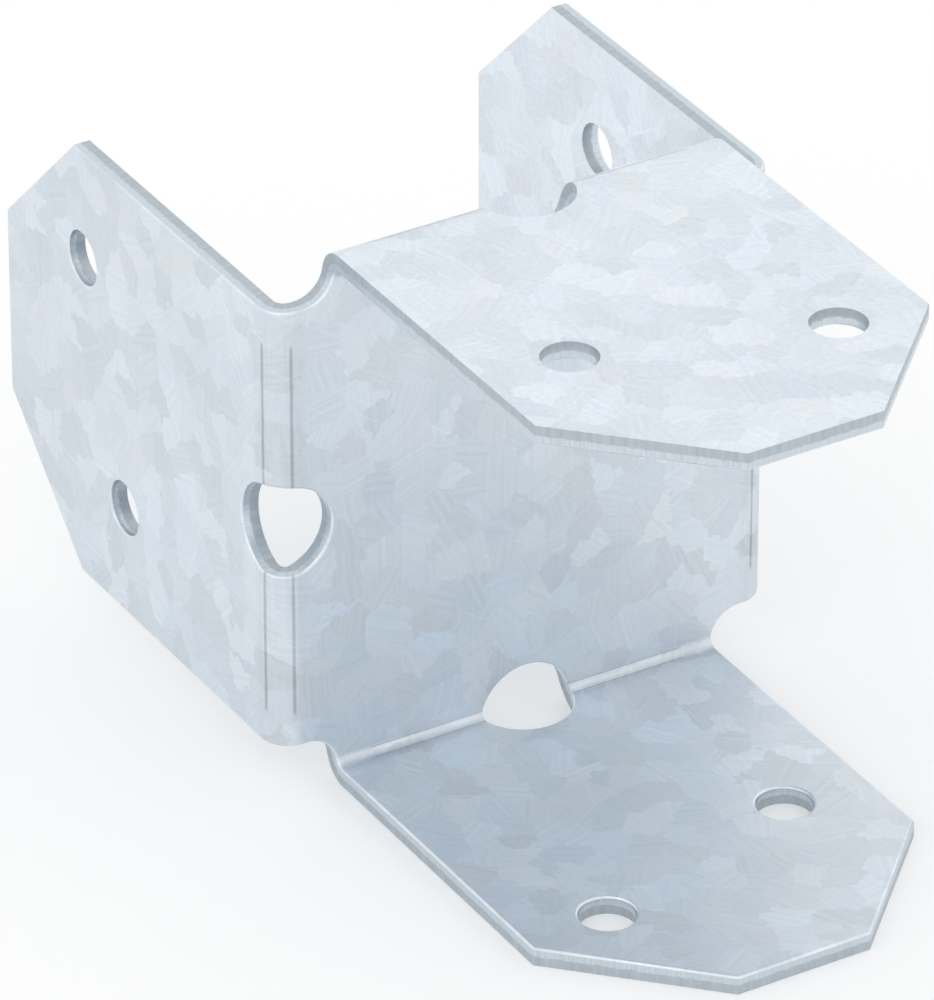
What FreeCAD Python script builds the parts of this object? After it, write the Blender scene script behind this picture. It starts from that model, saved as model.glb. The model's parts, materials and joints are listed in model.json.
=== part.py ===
import FreeCAD, Part
import math
import os
import Sketcher

# Timber angle connector: one blank of zinc-coated sheet steel, cut as a cross, punched flat and
# then folded. The side flanges fold to the rear (+Y), the top and bottom flanges to the front (-Y).
# Origin: middle of the web, halfway through the sheet. Seen from the front, +X is right and +Z is up.

# Driving sizes, in millimetres. Widths and heights are outside sizes, and a flange's reach runs
# from the outer face of the web to the flange's tip.
DRIVING_SIZES = {
    "sheet_thickness": 1.5,
    "web_width": 42.0,
    "web_height": 44.5,
    "flange_reach": 39.5,
    "inner_bend_radius": 0.8,
    "side_flange_relief": 1.8,
    "front_flange_relief": 2.7,
    "corner_radius": 2.4,
    "tip_chamfer": 10.5,
    "nail_hole_diameter": 4.2,
    "nail_hole_spacing": 18.4,
    "nail_tip_margin": 11.55,
    "nail_stagger": 5.6,
    "bend_hole_diameter": 7.4,
}

# Sizes that follow from them. A flange's edge stands in from the flat of the web by its relief.
# The middle of the sheet keeps its length in a bend, so a round hole punched across the bend line
# runs half the bend's length to each side before it comes out on flat sheet.
FOLLOWING_SIZES = {
    "tip_distance": "=flange_reach - sheet_thickness / 2",
    "outer_bend_radius": "=inner_bend_radius + sheet_thickness",
    "bend_centre_depth": "=outer_bend_radius - sheet_thickness / 2",
    "web_flat_width": "=web_width - 2 * outer_bend_radius",
    "web_flat_height": "=web_height - 2 * outer_bend_radius",
    "side_flange_edge": "=web_flat_height / 2 - side_flange_relief",
    "front_flange_edge": "=web_flat_width / 2 - front_flange_relief",
    "notch_right": "=web_width / 2 + sheet_thickness",
    "notch_top": "=web_height / 2 + sheet_thickness",
    "far_nail_distance": "=tip_distance - nail_tip_margin",
    "near_nail_distance": "=far_nail_distance - nail_stagger",
    "half_bend_length": "=(inner_bend_radius + sheet_thickness / 2) * pi / 4",
    "bend_hole_width_at_flat": "=2 * sqrt((bend_hole_diameter / 2) ^ 2 - half_bend_length ^ 2)",
    "bend_hole_inside": "=inner_bend_radius - sheet_thickness / 16",
    "bend_hole_outside": "=outer_bend_radius + sheet_thickness / 16",
}

RIGHT = FreeCAD.Vector(1, 0, 0)
REAR = FreeCAD.Vector(0, 1, 0)
UP = FreeCAD.Vector(0, 0, 1)

# A sketch's own points and lines: a curve's start, end and centre, the origin, and the two axes
START, END, CENTRE = range(1, 4)
ORIGIN = (-1, 1)
LEVEL_AXIS, UPRIGHT_AXIS = range(-1, -3, -1)

HALF_TURN = math.pi
THREE_QUARTER_TURN = 1.5 * math.pi
FULL_TURN = 2 * math.pi
MATCH_TOLERANCE = 1e-4

doc = FreeCAD.newDocument("timber_angle_connector")
sizes = doc.addObject("Spreadsheet::Sheet", "sizes")
for row, (alias, value) in enumerate({**DRIVING_SIZES, **FOLLOWING_SIZES}.items(), start=1):
    sizes.set(f"A{row}", alias.replace("_", " "))
    sizes.set(f"B{row}", str(value))
    sizes.setAlias(f"B{row}", alias)
doc.recompute()

body = doc.addObject("PartDesign::Body", "connector")
body.Label = "angle_connector"


def origin_feature(role):
    """One of the body's own planes or axes."""
    return next(feature for feature in body.Origin.OriginFeatures if feature.Role == role)


def new_sketch(name, level, upright, **base):
    """A sketch whose two axes lie along the part's directions, its origin moved by expressions."""
    sketch = body.newObject("Sketcher::SketchObject", name)
    sketch.AttachmentSupport = [(origin_feature("XY_Plane"), "")]
    sketch.MapMode = "FlatFace"
    sketch.AttachmentOffset = FreeCAD.Placement(
        FreeCAD.Vector(), FreeCAD.Rotation(level, upright, level.cross(upright)))
    for axis, expression in base.items():
        sketch.setExpression(f"AttachmentOffset.Base.{axis}", expression)
    return sketch


def line(sketch, x0, y0, x1, y1):
    return sketch.addGeometry(Part.LineSegment(FreeCAD.Vector(x0, y0, 0), FreeCAD.Vector(x1, y1, 0)))


def arc(sketch, x, y, radius, first, last):
    circle = Part.Circle(FreeCAD.Vector(x, y, 0), FreeCAD.Vector(0, 0, 1), radius)
    return sketch.addGeometry(Part.ArcOfCircle(circle, first, last))


def constrain(sketch, kind, *places):
    """The same constraint at each place."""
    for place in places:
        sketch.addConstraint(Sketcher.Constraint(kind, *place))


def dimension(sketch, name, expression, kind, *place):
    """A named dimension, bound to the sheet."""
    value = float(sizes.evalExpression(expression))
    index = sketch.addConstraint(Sketcher.Constraint(kind, *place, value))
    sketch.renameConstraint(index, name)
    sketch.setExpression(f"Constraints.{name}", expression)


def make_feature(kind, name, profile=None):
    """A feature of the body. It becomes the tip, so that patterns count too."""
    feature = body.newObject(f"PartDesign::{kind}", name)
    if profile:
        feature.Profile = profile
    body.Tip = feature
    return feature


def cut_down(feature):
    """Recompute a cut, and stop if it took nothing away."""
    doc.recompute()
    if feature.Shape.Volume >= feature.BaseFeature.Shape.Volume:
        raise RuntimeError(f"{feature.Name} cuts nothing")
    return feature


def channel_section(name, width, level, upright):
    """The web and two opposite flanges as one bent strip, seen end on, with the flanges upright."""
    sketch = new_sketch(name, level, upright)
    outside = getattr(sizes, width) / 2
    inside = outside - sizes.sheet_thickness
    bend_x = outside - sizes.outer_bend_radius
    bend_y = sizes.bend_centre_depth
    face = sizes.sheet_thickness / 2
    tip = sizes.tip_distance
    outer = sizes.outer_bend_radius
    inner = sizes.inner_bend_radius

    left_outer = line(sketch, -outside, tip, -outside, bend_y)
    left_outer_bend = arc(sketch, -bend_x, bend_y, outer, HALF_TURN, THREE_QUARTER_TURN)
    web_outer = line(sketch, -bend_x, -face, bend_x, -face)
    right_outer_bend = arc(sketch, bend_x, bend_y, outer, THREE_QUARTER_TURN, FULL_TURN)
    right_outer = line(sketch, outside, bend_y, outside, tip)
    right_tip = line(sketch, outside, tip, inside, tip)
    right_inner = line(sketch, inside, tip, inside, bend_y)
    right_inner_bend = arc(sketch, bend_x, bend_y, inner, THREE_QUARTER_TURN, FULL_TURN)
    web_inner = line(sketch, bend_x, face, -bend_x, face)
    left_inner_bend = arc(sketch, -bend_x, bend_y, inner, HALF_TURN, THREE_QUARTER_TURN)
    left_inner = line(sketch, -inside, bend_y, -inside, tip)
    left_tip = line(sketch, -inside, tip, -outside, tip)

    # Flat faces run smoothly into the bends, and both sides of a bend share one centre
    constrain(sketch, "Tangent",
              (left_outer, END, left_outer_bend, START), (left_outer_bend, END, web_outer, START),
              (web_outer, END, right_outer_bend, START), (right_outer_bend, END, right_outer, START),
              (right_inner, END, right_inner_bend, END), (right_inner_bend, START, web_inner, START),
              (web_inner, END, left_inner_bend, END), (left_inner_bend, START, left_inner, START))
    constrain(sketch, "Coincident",
              (right_outer, END, right_tip, START), (right_tip, END, right_inner, START),
              (left_inner, END, left_tip, START), (left_tip, END, left_outer, START),
              (left_outer_bend, CENTRE, left_inner_bend, CENTRE),
              (right_outer_bend, CENTRE, right_inner_bend, CENTRE))
    constrain(sketch, "Vertical", (left_outer,), (right_outer,), (left_inner,), (right_inner,))
    constrain(sketch, "Horizontal", (left_tip,), (right_tip,))
    constrain(sketch, "Equal",
              (left_outer_bend, right_outer_bend), (left_inner_bend, right_inner_bend),
              (left_outer, right_outer))
    constrain(sketch, "Symmetric", (web_outer, START, web_outer, END, UPRIGHT_AXIS))
    dimension(sketch, "width", f"sizes.{width}", "DistanceX", left_outer, END, right_outer, START)
    dimension(sketch, "outer_radius", "sizes.outer_bend_radius", "Radius", left_outer_bend)
    dimension(sketch, "inner_radius", "sizes.inner_bend_radius", "Radius", left_inner_bend)
    dimension(sketch, "half_sheet", "sizes.sheet_thickness / 2", "DistanceY", web_outer, START, *ORIGIN)
    dimension(sketch, "tip", "sizes.tip_distance", "DistanceY", *ORIGIN, right_tip, START)
    return sketch


def channel(name, section, length):
    """The bent strip, as long as the flat of the web between the other two bends."""
    pad = make_feature("Pad", name, section)
    pad.SideType = "Symmetric"
    pad.setExpression("Length", length)
    doc.recompute()


# The web with its side flanges, then the web with its top and bottom flanges
channel("side_channel",
        channel_section("side_section", "web_width", RIGHT, REAR), "sizes.web_flat_height")
channel("front_channel",
        channel_section("front_section", "web_height", UP, -REAR), "sizes.web_flat_width")


def corner_outline():
    """What is cut away at the blank's upper right corner, with a round at its inner corner."""
    sketch = new_sketch("corner_outline", RIGHT, UP)
    radius = sizes.corner_radius
    inner_x = sizes.front_flange_edge
    inner_z = sizes.side_flange_edge
    outer_x = sizes.notch_right
    outer_z = sizes.notch_top

    left = line(sketch, inner_x, outer_z, inner_x, inner_z + radius)
    inner_round = arc(sketch, inner_x + radius, inner_z + radius, radius, HALF_TURN, THREE_QUARTER_TURN)
    bottom = line(sketch, inner_x + radius, inner_z, outer_x, inner_z)
    right = line(sketch, outer_x, inner_z, outer_x, outer_z)
    top = line(sketch, outer_x, outer_z, inner_x, outer_z)

    constrain(sketch, "Tangent", (left, END, inner_round, START), (inner_round, END, bottom, START))
    constrain(sketch, "Coincident",
              (bottom, END, right, START), (right, END, top, START), (top, END, left, START))
    constrain(sketch, "Vertical", (left,), (right,))
    constrain(sketch, "Horizontal", (bottom,), (top,))
    dimension(sketch, "radius", "sizes.corner_radius", "Radius", inner_round)
    dimension(sketch, "inner_x", "sizes.front_flange_edge", "DistanceX", *ORIGIN, left, START)
    dimension(sketch, "inner_z", "sizes.side_flange_edge", "DistanceY", *ORIGIN, bottom, END)
    dimension(sketch, "outer_x", "sizes.notch_right", "DistanceX", *ORIGIN, right, START)
    dimension(sketch, "outer_z", "sizes.notch_top", "DistanceY", *ORIGIN, top, START)
    return sketch


# Notched corners: one cut, mirrored to the other three
notch = make_feature("Pocket", "corner_notch", corner_outline())
notch.Type = "ThroughAll"
notch.SideType = "Symmetric"
cut_down(notch)
notches = make_feature("MultiTransform", "corner_notches")
notches.Originals = [notch]
mirrors = []
for name, plane in (("left_and_right", "YZ_Plane"), ("top_and_bottom", "XY_Plane")):
    mirror = body.newObject("PartDesign::Mirrored", name)
    mirror.MirrorPlane = (origin_feature(plane), [""])
    mirrors.append(mirror)
notches.Transformations = mirrors
body.Tip = notches
cut_down(notches)


def edge_at(shape, x, y, z):
    """Name of the edge whose middle is at a point."""
    for number, edge in enumerate(shape.Edges, start=1):
        if edge.CenterOfMass.distanceToPoint(FreeCAD.Vector(x, y, z)) < MATCH_TOLERANCE:
            return f"Edge{number}"
    raise RuntimeError(f"no edge at {x}, {y}, {z}")


# Cut-off tips: both corners of each flange
side_sheet_x = (sizes.web_width - sizes.sheet_thickness) / 2
front_sheet_z = (sizes.web_height - sizes.sheet_thickness) / 2
tip_corners = []
for x_side in (1, -1):
    for z_side in (1, -1):
        tip_corners.append(edge_at(
            notches.Shape, x_side * side_sheet_x, sizes.tip_distance, z_side * sizes.side_flange_edge))
        tip_corners.append(edge_at(
            notches.Shape, x_side * sizes.front_flange_edge, -sizes.tip_distance, z_side * front_sheet_z))
tips = make_feature("Chamfer", "cut_tips")
tips.Base = (notches, tip_corners)
tips.setExpression("Size", "sizes.tip_chamfer")
cut_down(tips)


def opposite(name, originals):
    """The same cuts on the opposite side, half a turn about the axis through the web."""
    pattern = make_feature("PolarPattern", name)
    pattern.Originals = originals
    pattern.Axis = (origin_feature("Y_Axis"), [""])
    pattern.Occurrences = 2
    cut_down(pattern)


def nail_holes(name, level, upright):
    """Two nail holes in one flange, upright along it, staggered: the right one is nearer the tip."""
    sketch = new_sketch(f"{name}_outline", level, upright)
    for place, across, along in (
            ("far", "sizes.nail_hole_spacing / 2", "sizes.far_nail_distance"),
            ("near", "-sizes.nail_hole_spacing / 2", "sizes.near_nail_distance")):
        middle = FreeCAD.Vector(sizes.evalExpression(across), sizes.evalExpression(along), 0)
        hole = sketch.addGeometry(
            Part.Circle(middle, FreeCAD.Vector(0, 0, 1), sizes.nail_hole_diameter / 2))
        dimension(sketch, f"{place}_diameter", "sizes.nail_hole_diameter", "Diameter", hole)
        dimension(sketch, f"{place}_across", across, "DistanceX", *ORIGIN, hole, CENTRE)
        dimension(sketch, f"{place}_along", along, "DistanceY", *ORIGIN, hole, CENTRE)
    pocket = make_feature("Pocket", name, sketch)
    pocket.Type = "ThroughAll"
    return pocket


right_nail_holes = nail_holes("right_nail_holes", -UP, REAR)
right_nail_holes.Reversed = True
opposite("side_nail_holes", [cut_down(right_nail_holes)])
bottom_nail_holes = nail_holes("bottom_nail_holes", -RIGHT, -REAR)
opposite("front_nail_holes", [cut_down(bottom_nail_holes)])


def hole_on_flat(name, level, through, **bend_centre):
    """The end of a bend hole that lies on flat sheet: a segment of the punched circle."""
    sketch = new_sketch(f"{name}_outline", level, level.cross(through), **bend_centre)
    radius = sizes.bend_hole_diameter / 2
    half_chord = sizes.bend_hole_width_at_flat / 2
    half_angle = math.atan2(half_chord, sizes.half_bend_length)
    rim = arc(sketch, -sizes.half_bend_length, 0, radius, -half_angle, half_angle)
    chord = line(sketch, 0, half_chord, 0, -half_chord)
    constrain(sketch, "Coincident", (rim, END, chord, START), (chord, END, rim, START))
    constrain(sketch, "Vertical", (chord,))
    constrain(sketch, "PointOnObject", (chord, START, UPRIGHT_AXIS), (rim, CENTRE, LEVEL_AXIS))
    dimension(sketch, "radius", "sizes.bend_hole_diameter / 2", "Radius", rim)
    dimension(sketch, "centre", "sizes.half_bend_length", "DistanceX", rim, CENTRE, *ORIGIN)
    pocket = make_feature("Pocket", name, sketch)
    pocket.Type = "ThroughAll"
    return cut_down(pocket)


def hole_section(name, outwards, along, width, **bend_centre):
    """A bend hole cut open through the bend's centre line: just past both faces of the sheet."""
    sketch = new_sketch(name, outwards, along, **bend_centre)
    near = sizes.bend_hole_inside
    far = sizes.bend_hole_outside
    half = sizes.evalExpression(width) / 2
    inner = line(sketch, near, half, near, -half)
    bottom = line(sketch, near, -half, far, -half)
    outer = line(sketch, far, -half, far, half)
    top = line(sketch, far, half, near, half)
    constrain(sketch, "Coincident",
              (inner, END, bottom, START), (bottom, END, outer, START),
              (outer, END, top, START), (top, END, inner, START))
    constrain(sketch, "Horizontal", (bottom,), (top,))
    constrain(sketch, "Vertical", (outer,))
    constrain(sketch, "Symmetric", (inner, START, inner, END, LEVEL_AXIS))
    dimension(sketch, "near", "sizes.bend_hole_inside", "DistanceX", *ORIGIN, inner, START)
    dimension(sketch, "far", "sizes.bend_hole_outside", "DistanceX", *ORIGIN, outer, START)
    dimension(sketch, "width", width, "DistanceY", inner, END, inner, START)
    return sketch


def bend_hole(name, web_way, flange_way, **bend_centre):
    """A round hole punched across a bend line and folded with the sheet, its wall square to the sheet."""
    on_web = hole_on_flat(f"{name}_on_web", web_way, -flange_way, **bend_centre)
    on_flange = hole_on_flat(f"{name}_on_flange", flange_way, -web_way, **bend_centre)
    along = flange_way.cross(web_way)
    middle_way = -(web_way + flange_way).normalize()
    at_flat = "sizes.bend_hole_width_at_flat"
    sections = [
        hole_section(f"{name}_at_web", -flange_way, along, at_flat, **bend_centre),
        hole_section(f"{name}_at_middle", middle_way, along, "sizes.bend_hole_diameter", **bend_centre),
        hole_section(f"{name}_at_flange", -web_way, along, at_flat, **bend_centre)]
    in_bend = make_feature("SubtractiveLoft", f"{name}_in_bend", sections[0])
    in_bend.Sections = sections[1:]
    return [on_web, on_flange, cut_down(in_bend)]


opposite("side_bend_holes", bend_hole(
    "right_bend_hole", -RIGHT, REAR, x="sizes.web_flat_width / 2", y="sizes.bend_centre_depth"))
opposite("front_bend_holes", bend_hole(
    "bottom_bend_hole", UP, -REAR, z="-sizes.web_flat_height / 2", y="-sizes.bend_centre_depth"))

# Check every object, then write the piece
doc.recompute()
for item in doc.Objects:
    if "Invalid" in item.State or "Error" in item.State:
        raise RuntimeError(f"{item.Name} failed: {item.State}")
    if item.TypeId == "Sketcher::SketchObject" and not item.FullyConstrained:
        raise RuntimeError(f"{item.Name} is loose")
if body.Shape.isNull() or not body.Shape.isValid() or len(body.Shape.Solids) != 1:
    raise RuntimeError("the connector is not one sound solid")
os.makedirs("parts", exist_ok=True)
body.Shape.exportStep(f"parts/{body.Label}.step")
print(f"{body.Label}: {body.Shape.Volume:.1f} mm3, {body.Shape.BoundBox}")
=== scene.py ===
import bmesh
import bpy
import json
import math
from mathutils import Matrix, Vector


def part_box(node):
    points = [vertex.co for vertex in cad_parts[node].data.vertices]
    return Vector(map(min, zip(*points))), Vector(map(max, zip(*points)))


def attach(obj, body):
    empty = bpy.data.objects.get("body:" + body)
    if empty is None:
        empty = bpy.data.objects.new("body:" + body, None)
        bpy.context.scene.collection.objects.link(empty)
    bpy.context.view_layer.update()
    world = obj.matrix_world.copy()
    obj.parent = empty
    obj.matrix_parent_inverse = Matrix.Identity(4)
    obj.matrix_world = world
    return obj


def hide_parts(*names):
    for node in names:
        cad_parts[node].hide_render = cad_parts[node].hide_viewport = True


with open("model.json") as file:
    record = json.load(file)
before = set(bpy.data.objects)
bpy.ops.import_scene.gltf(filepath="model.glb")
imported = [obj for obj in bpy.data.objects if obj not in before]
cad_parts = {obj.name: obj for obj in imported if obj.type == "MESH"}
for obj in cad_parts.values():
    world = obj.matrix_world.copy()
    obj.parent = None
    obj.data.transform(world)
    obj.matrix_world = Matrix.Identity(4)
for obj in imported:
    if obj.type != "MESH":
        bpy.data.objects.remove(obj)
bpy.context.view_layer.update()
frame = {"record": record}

# The blank: 1.5 mm sheet steel, zinc-coated in the coil and cut as a cross.
# The web is its middle, and each arm becomes a flange. It lies flat in the web's own plane,
# with its front face towards -Y, so that only the arms have to move later.
low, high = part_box("angle_connector")
sheet = 0.0015
inner_radius = 0.0008
middle_radius = inner_radius + sheet / 2
bend_length = middle_radius * math.pi / 2
bend_start = {"X": high.x - inner_radius - sheet, "Z": high.z - inner_radius - sheet}
flange_length = high.y - middle_radius
reach = {across: start + bend_length + flange_length for across, start in bend_start.items()}
side_arm_relief = 0.0018
front_arm_relief = 0.0027
half_side_arm = bend_start["Z"] - side_arm_relief
half_front_arm = bend_start["X"] - front_arm_relief
half_core = {"X": half_front_arm, "Z": half_side_arm}
arms = {
    "right": (Vector((1, 0, 0)), "X"),
    "left": (Vector((-1, 0, 0)), "X"),
    "top": (Vector((0, 0, 1)), "Z"),
    "bottom": (Vector((0, 0, -1)), "Z"),
}
touching = sheet / 100
nearly_square = 0.9


def select(kind, wanted):
    """Selects the edges or faces of the edited mesh that pass a test, and nothing else."""
    bpy.ops.mesh.select_mode(type={"edges": "EDGE", "faces": "FACE"}[kind])
    bpy.ops.mesh.select_all(action="DESELECT")
    edited = bmesh.from_edit_mesh(bpy.context.object.data)
    for item in getattr(edited, kind):
        if wanted(item):
            item.select_set(True)
    edited.select_flush_mode()
    bmesh.update_edit_mesh(bpy.context.object.data)


def lies_flat(face):
    """True for a face in the plane of the sheet."""
    return abs(face.normal.y) > nearly_square


def stands(edge):
    """True for an edge that runs through the sheet."""
    return abs((edge.verts[1].co - edge.verts[0].co).normalized().y) > nearly_square


bpy.ops.object.select_all(action="DESELECT")
bpy.ops.mesh.primitive_cube_add(size=1, scale=(2 * half_front_arm, sheet, 2 * half_side_arm))
connector = bpy.context.object
connector.name = "folded_connector"
connector.data.name = "folded_connector"
bpy.ops.object.transform_apply(location=False, rotation=False, scale=True)
bpy.ops.object.mode_set(mode="EDIT")
for direction, across in arms.values():
    core_side = direction * half_core[across]
    select("faces", lambda face: (face.calc_center_median() - core_side).length < touching)
    bpy.ops.mesh.extrude_region_move(
        TRANSFORM_OT_translate={"value": direction * (reach[across] - half_core[across])})
select("edges", lambda edge: all(lies_flat(face) for face in edge.link_faces))
bpy.ops.mesh.dissolve_edges(use_verts=False)

# Rounded corners between the arms, and cut-off corners at their tips
corner_radius = 0.0024
corner_steps = 10
tip_chamfer = 0.0105
select("edges", lambda edge: stands(edge) and (
    abs(edge.verts[0].co.x) < half_front_arm + sheet and abs(edge.verts[0].co.z) < half_side_arm + sheet))
bpy.ops.mesh.bevel(offset=corner_radius, segments=corner_steps, affect="EDGES")
select("edges", lambda edge: stands(edge) and (
    abs(edge.verts[0].co.x) > reach["X"] - sheet or abs(edge.verts[0].co.z) > reach["Z"] - sheet))
bpy.ops.mesh.bevel(offset=tip_chamfer, segments=1, affect="EDGES")
bpy.ops.object.mode_set(mode="OBJECT")

# The punched holes: two staggered nail holes in each flange, where the record states them,
# and a larger round hole across the middle of each bend line. All are punched while the sheet is flat.
mm_per_metre = 1000
nail_hole_sides = 48
bend_hole_radius = 0.0037
bend_hole_sides = 80
punch_length = 4 * sheet
punches = []


def punch(place, radius, sides):
    """A round punch, square to the sheet."""
    bpy.ops.mesh.primitive_cylinder_add(
        vertices=sides, radius=radius, depth=punch_length, location=place, rotation=(math.pi / 2, 0, 0))
    punches.append(bpy.context.object)


for hole in frame["record"]["mounts"]:
    if hole["kind"] != "bolt_pattern":
        continue
    outward = Vector(hole["axis"])
    folded_place = Vector(hole["pos_m"])
    across = "X" if outward.x else "Z"
    along_arm = bend_start[across] + bend_length + abs(folded_place.y) - middle_radius
    sideways = folded_place - outward * folded_place.dot(outward)
    sideways.y = 0
    punch(outward * along_arm + sideways, hole["dims"]["hole_r_mm"] / mm_per_metre, nail_hole_sides)
for direction, across in arms.values():
    punch(direction * (bend_start[across] + bend_length / 2), bend_hole_radius, bend_hole_sides)

bpy.ops.object.select_all(action="DESELECT")
for tool in punches:
    tool.select_set(True)
bpy.context.view_layer.objects.active = punches[0]
bpy.ops.object.join()
all_punches = bpy.context.object
bpy.ops.object.select_all(action="DESELECT")
connector.select_set(True)
bpy.context.view_layer.objects.active = connector
cut = connector.modifiers.new("punched holes", "BOOLEAN")
cut.operation = "DIFFERENCE"
cut.solver = "EXACT"
cut.object = all_punches
bpy.ops.object.modifier_apply(modifier=cut.name)
bpy.data.objects.remove(all_punches)

# The sheared edges: the cutting tool rounds the face that it enters, here the front one,
# and leaves the other face's edge nearly sharp.
entry_rounding = 0.00022
entry_steps = 4
exit_rounding = 0.00007
exit_steps = 2


def rim(side):
    """A test for the edges where the front (-1) or rear (1) face meets a cut wall."""
    def is_rim(edge):
        on_face = all(abs(point.co.y - side * sheet / 2) < touching for point in edge.verts)
        return on_face and not all(lies_flat(face) for face in edge.link_faces)
    return is_rim


bpy.ops.object.mode_set(mode="EDIT")
select("edges", rim(-1))
bpy.ops.mesh.bevel(offset=entry_rounding, segments=entry_steps, affect="EDGES", loop_slide=False)
select("edges", rim(1))
bpy.ops.mesh.bevel(offset=exit_rounding, segments=exit_steps, affect="EDGES", loop_slide=False)

# The folds: each arm is bent by a right angle, the side arms to the rear and the others to the front.
# A bend is first divided into narrow strips, and the middle of the sheet keeps its length in it.
# Each point also keeps its place on the flat blank, so that the finish runs on through the bends.
strips = 12
for direction, across in arms.values():
    for line in range(strips + 1):
        bpy.ops.mesh.select_all(action="SELECT")
        strip_edge = direction * (bend_start[across] + bend_length * line / strips)
        bpy.ops.mesh.bisect(plane_co=strip_edge, plane_no=direction)

edited = bmesh.from_edit_mesh(connector.data)
on_blank = edited.verts.layers.float_vector.new("on_blank")
for point in edited.verts:
    point[on_blank] = point.co
bmesh.update_edit_mesh(connector.data)
bpy.ops.object.mode_set(mode="OBJECT")

for name, (direction, across) in arms.items():
    fold_way = Vector((0, 1 if across == "X" else -1, 0))
    hinge_turn = Matrix((direction, fold_way, direction.cross(fold_way))).transposed()
    bpy.ops.object.empty_add(location=direction * bend_start[across], rotation=hinge_turn.to_euler())
    hinge = bpy.context.object
    along_arm = [point.co.dot(direction) for point in connector.data.vertices]
    first, last = min(along_arm), max(along_arm)
    fold = connector.modifiers.new(f"{name} fold", "SIMPLE_DEFORM")
    fold.deform_method = "BEND"
    fold.deform_axis = "Z"
    fold.origin = hinge
    fold.angle = math.pi / 2
    fold.limits = [(bend_start[across] + run - first) / (last - first) for run in (0, bend_length)]
    bpy.context.view_layer.objects.active = connector
    bpy.ops.object.modifier_apply(modifier=fold.name)
    bpy.data.objects.remove(hinge)

# Smooth bends and rims beside flat faces
sharpest_smooth_edge = math.radians(40)
bpy.ops.object.select_all(action="DESELECT")
connector.select_set(True)
bpy.ops.object.shade_smooth_by_angle(angle=sharpest_smooth_edge)
flat_faces = connector.modifiers.new("flat faces", "WEIGHTED_NORMAL")
flat_faces.keep_sharp = True
bpy.ops.object.modifier_apply(modifier=flat_faces.name)

# The zinc finish: hot-dip galvanised, satin pale blue-grey, with a faint spangle of frozen zinc crystals,
# rolling lines, soft clouding and light scuffs. Bare steel shows on the sheared walls, and the folding
# press left strained bands and fine marks along the bends. All of it follows the flat blank.


class Wire:
    """One value in a material's nodes. Arithmetic with wires adds Math nodes."""

    def __init__(self, tree, socket=None):
        self.tree = tree
        self.socket = socket

    def node(self, kind, inputs, output=0, **settings):
        """Adds a node of any kind: its settings first, then the values or wires of its sockets."""
        made = self.tree.nodes.new(kind)
        for name, value in settings.items():
            setattr(made, name, value)
        for name, value in inputs.items():
            if isinstance(value, Wire):
                self.tree.links.new(value.socket, made.inputs[name])
            else:
                made.inputs[name].default_value = value
        return Wire(self.tree, made.outputs[output])

    def compute(self, operation, first, second=0.0):
        """A Math node on two values or wires."""
        return self.node("ShaderNodeMath", {0: first, 1: second}, operation=operation)

    def __add__(self, other):
        return self.compute("ADD", self, other)

    def __radd__(self, other):
        return self.compute("ADD", other, self)

    def __sub__(self, other):
        return self.compute("SUBTRACT", self, other)

    def __rsub__(self, other):
        return self.compute("SUBTRACT", other, self)

    def __mul__(self, other):
        return self.compute("MULTIPLY", self, other)

    def __rmul__(self, other):
        return self.compute("MULTIPLY", other, self)

    def __abs__(self):
        return self.compute("ABSOLUTE", self)

    def rise(self, start, end):
        """0 up to the start, 1 from the end on, and smooth between them."""
        return self.node("ShaderNodeMapRange", {"Value": self, "From Min": start, "From Max": end},
                         interpolation_type="SMOOTHSTEP")

    def mix(self, first, second):
        """The first colour where this mask is 0, the second where it is 1."""
        return self.node("ShaderNodeMix", {0: self, 6: first, 7: second}, 2, data_type="RGBA")

    def scaled(self, factor):
        """This colour or place times one number or wire."""
        return self.node("ShaderNodeVectorMath", {0: self, "Scale": factor}, operation="SCALE")

    def stretched(self, level, upright):
        """This place on the blank with its two directions scaled."""
        return self.node("ShaderNodeVectorMath", {0: self, 1: (level, upright, 1)}, operation="MULTIPLY")

    def noise(self, waves, detail=1.0, output=0):
        """Soft noise at this place on the blank, with a number of waves per millimetre."""
        return self.node("ShaderNodeTexNoise", {"Vector": self, "Scale": waves, "Detail": detail}, output,
                         noise_dimensions="2D")


zinc = bpy.data.materials.new("galvanised sheet")
zinc.use_nodes = True
shader = zinc.node_tree.nodes["Principled BSDF"]
nodes = Wire(zinc.node_tree)
metres = nodes.node("ShaderNodeAttribute", {}, "Vector", attribute_name="on_blank")
millimetres = metres.scaled(mm_per_metre)
level, depth, upright = (nodes.node("ShaderNodeSeparateXYZ", {0: millimetres}, axis) for axis in "XYZ")

# The rear face has its own pattern, from further along
rear_shift = 140.0
on_rear = nodes.compute("GREATER_THAN", depth, 0.0)
spot = nodes.node("ShaderNodeCombineXYZ", {"X": level + rear_shift * on_rear, "Y": upright})

# Spangle: crystals with uneven edges, each with its own tone, gloss and direction of growth
crystal_size = 2.5
edge_wobble = 1.5
wobble = spot.noise(waves=0.9, detail=2.0, output="Color")
crystal_spot = nodes.node("ShaderNodeVectorMath", {0: wobble, 1: (edge_wobble, edge_wobble, 0), 2: spot},
                          operation="MULTIPLY_ADD")
crystal = nodes.node("ShaderNodeTexVoronoi", {"Vector": crystal_spot, "Scale": 1 / crystal_size}, "Color",
                     voronoi_dimensions="2D")
tone, gloss, turn = (
    nodes.node("ShaderNodeSeparateColor", {0: crystal}, channel) for channel in ("Red", "Green", "Blue"))
heading = 2 * math.pi * turn
growth = level * nodes.compute("COSINE", heading) + upright * nodes.compute("SINE", heading)
feather = nodes.node("ShaderNodeTexNoise", {"W": growth + 40.0 * tone, "Scale": 2.6, "Detail": 2.0},
                     noise_dimensions="1D")

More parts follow.
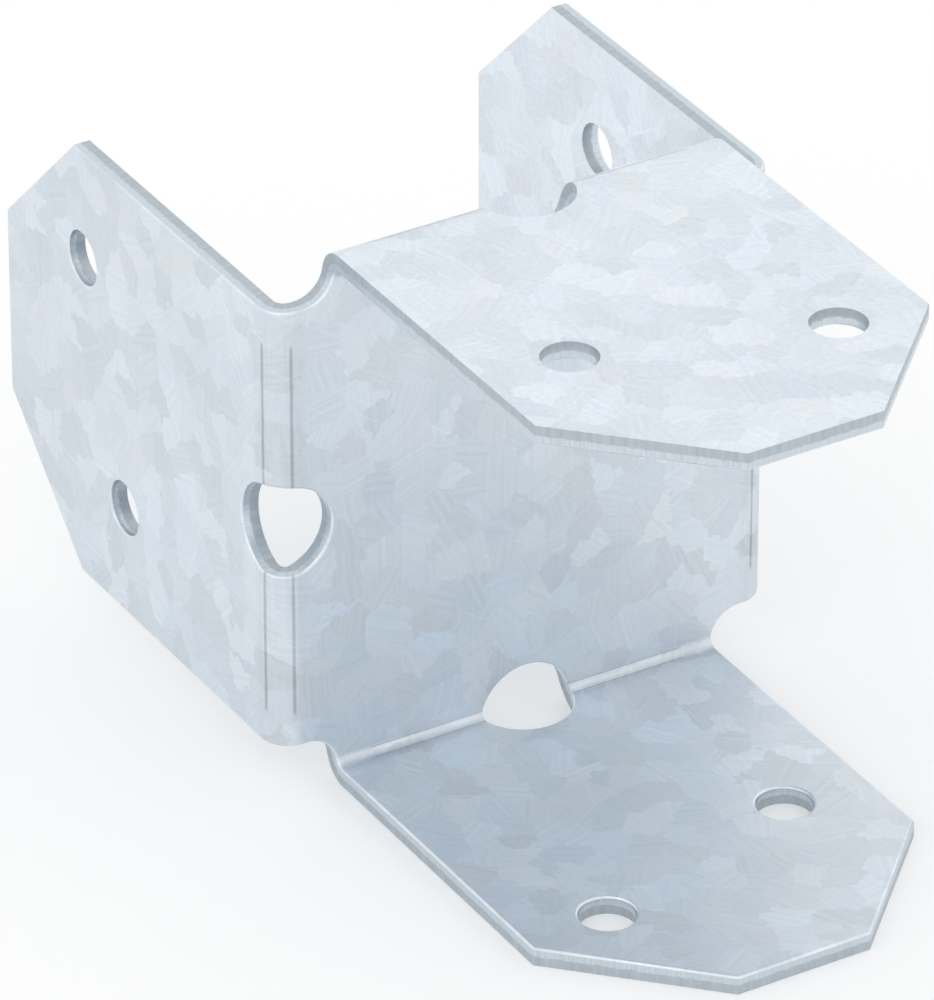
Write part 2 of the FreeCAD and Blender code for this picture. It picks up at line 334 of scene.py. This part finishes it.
# Marks of the mill and of handling
rolling = spot.stretched(5.0, 0.12).noise(waves=1.0)
clouding = spot.noise(waves=0.07, detail=2.0)
grain = spot.noise(waves=2.2, detail=3.0)
scuff_slant = 0.6
slanted = nodes.node("ShaderNodeVectorRotate", {"Vector": spot, "Angle": scuff_slant},
                     rotation_type="Z_AXIS")
scuff = slanted.stretched(0.16, 4.5).noise(waves=1.0).rise(0.66, 0.76) * clouding.rise(0.4, 0.6)

# Strained bands along the bends, and the two fine lines that the press leaves in each
press_line_offset = 0.75
press_line_gap = 2.5
half_bend = bend_length / 2 * mm_per_metre
from_side_bend = abs(abs(level) - (bend_start["X"] * mm_per_metre + half_bend))
from_front_bend = abs(abs(upright) - (bend_start["Z"] * mm_per_metre + half_bend))
from_bend = nodes.compute("MINIMUM", from_side_bend, from_front_bend)
in_front = nodes.compute("LESS_THAN", from_front_bend, from_side_bend)
along_bend = in_front * level + (1.0 - in_front) * upright
bent = 1.0 - from_bend.rise(half_bend - 0.3, half_bend + 0.7)
bend_spot = nodes.node("ShaderNodeCombineXYZ", {"X": from_bend, "Y": along_bend})
strain = bend_spot.stretched(5.0, 0.25).noise(waves=1.0, detail=2.0)
half_arm = (half_side_arm * (1.0 - in_front) + half_front_arm * in_front) * mm_per_metre
press_line = ((1.0 - abs(from_bend - press_line_offset).rise(0.04, 0.12))
              * (half_arm - press_line_gap - abs(along_bend)).rise(0.0, 0.6))

# Sheared walls: the rounded entry keeps its zinc, then a burnished band, then the broken rest
front = -sheet / 2 * mm_per_metre
back = sheet / 2 * mm_per_metre
wall = depth.rise(front + 0.15, front + 0.22) * (1.0 - depth.rise(back - 0.06, back - 0.02))
rounded = depth.rise(front + 0.01, front + 0.05) * (1.0 - wall)
unevenness = spot.noise(waves=1.6, detail=2.0) - 0.5
broken = (depth + 0.3 * unevenness).rise(-0.12, 0.02)
tool_lines = spot.noise(waves=7.0)

# Colour, gloss and relief, made of all these marks
blue_zinc = (0.675, 0.742, 0.806, 1)
grey_zinc = (0.708, 0.756, 0.800, 1)
burnished_steel = (0.61, 0.675, 0.73, 1)
broken_steel = (0.50, 0.555, 0.60, 1)
zinc_shade = (1.0 + 0.13 * (tone - 0.5) + 0.14 * (feather - 0.5) + 0.10 * (clouding - 0.5)
              + 0.05 * (rolling - 0.5) + 0.04 * (grain - 0.5) + 0.05 * scuff
              - bent * (0.03 + 0.10 * (strain - 0.5)) - 0.28 * press_line + rounded * (0.03 + 0.1 * grain))
zinc_colour = gloss.mix(blue_zinc, grey_zinc).scaled(zinc_shade)
steel_shade = 0.85 + 0.3 * (broken * grain + (1.0 - broken) * tool_lines)
steel_colour = broken.mix(burnished_steel, broken_steel).scaled(steel_shade)
roughness = (0.42 + 0.12 * (gloss - 0.5) + 0.08 * (clouding - 0.5) + 0.08 * (feather - 0.5)
             + 0.06 * bent - 0.08 * scuff - 0.06 * rounded + wall * (0.18 * broken - 0.08))
relief = (0.006 * grain - 0.012 * press_line + 0.004 * bent * strain
          + wall * (0.012 * broken * grain + 0.004 * tool_lines))
bump = nodes.node("ShaderNodeBump", {"Strength": 1.0, "Distance": 1 / mm_per_metre, "Height": relief},
                  "Normal")
shader.inputs["Metallic"].default_value = 1.0
zinc.node_tree.links.new(wall.mix(zinc_colour, steel_colour).socket, shader.inputs["Base Color"])
zinc.node_tree.links.new(roughness.socket, shader.inputs["Roughness"])
zinc.node_tree.links.new(bump.socket, shader.inputs["Normal"])
connector.data.materials.clear()
connector.data.materials.append(zinc)
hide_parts("angle_connector")
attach(connector, "root")

# The floor: a plain pale studio floor under the lower flange. It keeps the soft shadow,
# and what the camera and the metal see of it is lifted a little towards white.
floor_width = 3
floor_lift = 0.23
bpy.ops.mesh.primitive_plane_add(size=floor_width, location=(0, 0, low.z))
floor = bpy.context.object
floor.name = "floor"
pale = bpy.data.materials.new("pale floor")
pale.use_nodes = True
paint = pale.node_tree.nodes["Principled BSDF"]
paint.inputs["Base Color"].default_value = (0.88, 0.88, 0.88, 1)
paint.inputs["Roughness"].default_value = 0.9
paint.inputs["Specular IOR Level"].default_value = 0.2
paint.inputs["Emission Strength"].default_value = 1.0


def seen_directly(tree):
    """1 for what the camera sees, itself or in a reflection, and 0 for the light that falls on things."""
    by_camera, in_gloss, through = (
        Wire(tree).node("ShaderNodeLightPath", {}, f"Is {kind} Ray")
        for kind in ("Camera", "Glossy", "Transmission"))
    return by_camera + in_gloss + through


lift = floor_lift * seen_directly(pale.node_tree)
pale.node_tree.links.new(lift.socket, paint.inputs["Emission Color"])
floor.data.materials.append(pale)

# The light: large soft lamps round the object in a white room, one at the upper left, one in front
# at the right, and a weak one behind at the right. As light the room is a little weaker than as seen.
room_light = 0.84
bpy.context.scene.view_settings.view_transform = "Standard"
room = bpy.data.worlds.new("white room")
bpy.context.scene.world = room
room.use_nodes = True
sky = room.node_tree.nodes["Background"]
sky.inputs["Color"].default_value = (1, 1, 1, 1)
room_strength = room_light + (1 - room_light) * seen_directly(room.node_tree)
room.node_tree.links.new(room_strength.socket, sky.inputs["Strength"])


def lamp(name, place, width, watts):
    """A square soft lamp that faces the middle of the connector."""
    light = bpy.data.lights.new(name, "AREA")
    light.size = width
    light.energy = watts
    holder = bpy.data.objects.new(name, light)
    bpy.context.scene.collection.objects.link(holder)
    holder.location = place
    holder.rotation_euler = Vector(place).to_track_quat("Z", "Y").to_euler()
    holder.visible_camera = False


lamp("key lamp", place=(-0.6, -0.3, 0.7), width=0.8, watts=0.5)
lamp("fill lamp", place=(0.7, -0.6, 0.4), width=1.4, watts=0.4)
lamp("back lamp", place=(0.8, 0.4, 0.4), width=0.5, watts=0.12)

# The camera: a long lens in front of the connector, to its left and above it.
# Its place and turn were fitted to the corners and holes of the part.
downward_tilt = math.radians(31.576)
turn_to_right = math.radians(30.787)
camera_data = bpy.data.cameras.new("camera")
camera_data.lens = 349.36
camera_data.sensor_width = 36
camera_data.clip_start = 0.01
camera = bpy.data.objects.new("camera", camera_data)
bpy.context.scene.collection.objects.link(camera)
camera.location = (-0.309457, -0.511715, 0.363875)
camera.rotation_euler = (math.pi / 2 - downward_tilt, 0, -turn_to_right)
bpy.context.scene.camera = camera
